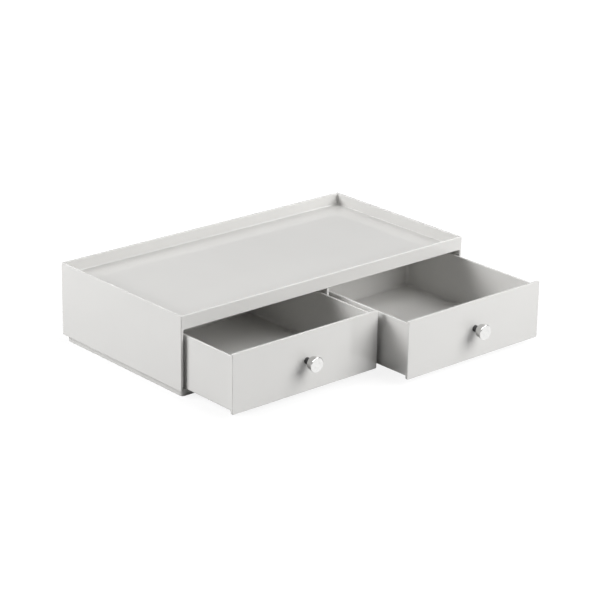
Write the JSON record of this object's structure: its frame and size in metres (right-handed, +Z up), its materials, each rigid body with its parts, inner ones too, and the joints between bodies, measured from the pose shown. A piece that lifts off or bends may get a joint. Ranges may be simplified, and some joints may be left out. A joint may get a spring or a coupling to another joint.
{
  "type": "desktop drawer organizer",
  "caption": "Low stackable desktop organizer in glossy light-grey plastic, with a rimmed tray top and side-by-side drawers on flat fronts with turned chrome knobs.",
  "frame": {"origin": "middle of the plinth's resting face, on the surface that the organizer stands on", "axes": "+Z up, -Y to the front where the drawers open, +X to the right along the width"},
  "size_m": [0.304, 0.2634, 0.0685],
  "materials": {
    "case_plastic": "moulded, glossy",
    "drawer_plastic": "moulded, glossy",
    "knob_chrome": "turned and polished",
    "screw_steel": "zinc-plated"
  },
  "bodies": {
    "case": {"case_shell": "case_plastic", "base_plate": "case_plastic", "centre_partition": "case_plastic"},
    "left_drawer": {"left_drawer_tub": "drawer_plastic", "left_drawer_front": "drawer_plastic", "left_knob": "knob_chrome", "left_knob_screw": "screw_steel", "left_knob_washer": "screw_steel"},
    "right_drawer": {"right_drawer_tub": "drawer_plastic", "right_drawer_front": "drawer_plastic", "right_knob": "knob_chrome", "right_knob_screw": "screw_steel", "right_knob_washer": "screw_steel"}
  },
  "joints": [
    {"name": "left_drawer_slide", "type": "slide", "parent": "case", "child": "left_drawer", "axis": [0, -1, 0], "range_m": [-0.0571, 0.0629]},
    {"name": "right_drawer_slide", "type": "slide", "parent": "case", "child": "right_drawer", "axis": [0, -1, 0], "range_m": [-0.0904, 0.0296]}
  ]
}
